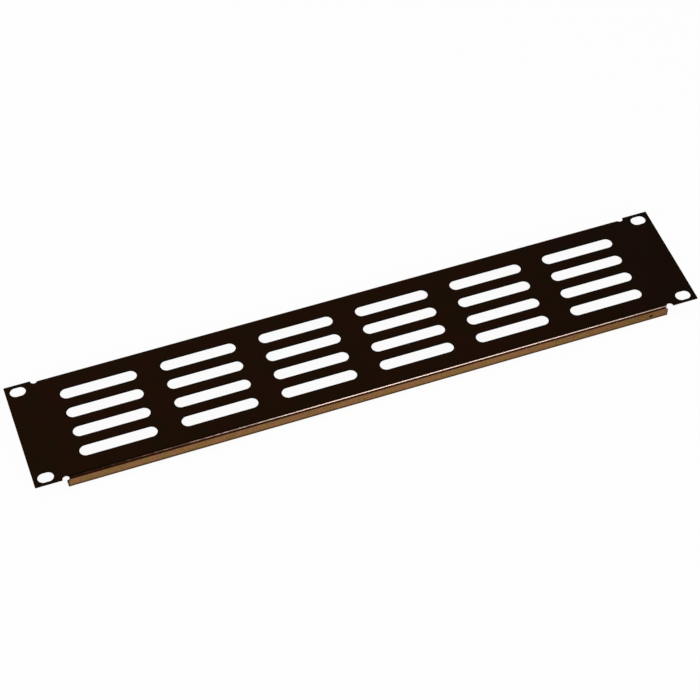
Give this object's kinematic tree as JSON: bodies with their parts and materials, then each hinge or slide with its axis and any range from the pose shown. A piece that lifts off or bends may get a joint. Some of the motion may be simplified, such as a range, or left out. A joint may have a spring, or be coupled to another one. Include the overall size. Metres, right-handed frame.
{
  "type": "rack blanking panel",
  "caption": "Vented blanking panel for a 19 inch rack: one folded sheet with rows of round-ended vent slots, slotted ears and a return flange along both long edges.",
  "frame": {"origin": "in the plane of the flanges' free edges, under the middle of the face", "axes": "+X along the panel's width, +Y towards its upper edge, +Z out of the front face"},
  "size_m": [0.4826, 0.0882, 0.0105],
  "materials": {
    "coated_steel": "satin very dark brown powder coat, bronze brown on the folded edges"
  },
  "bodies": {
    "root": {"vented_panel": "coated_steel"}
  },
  "joints": []
}
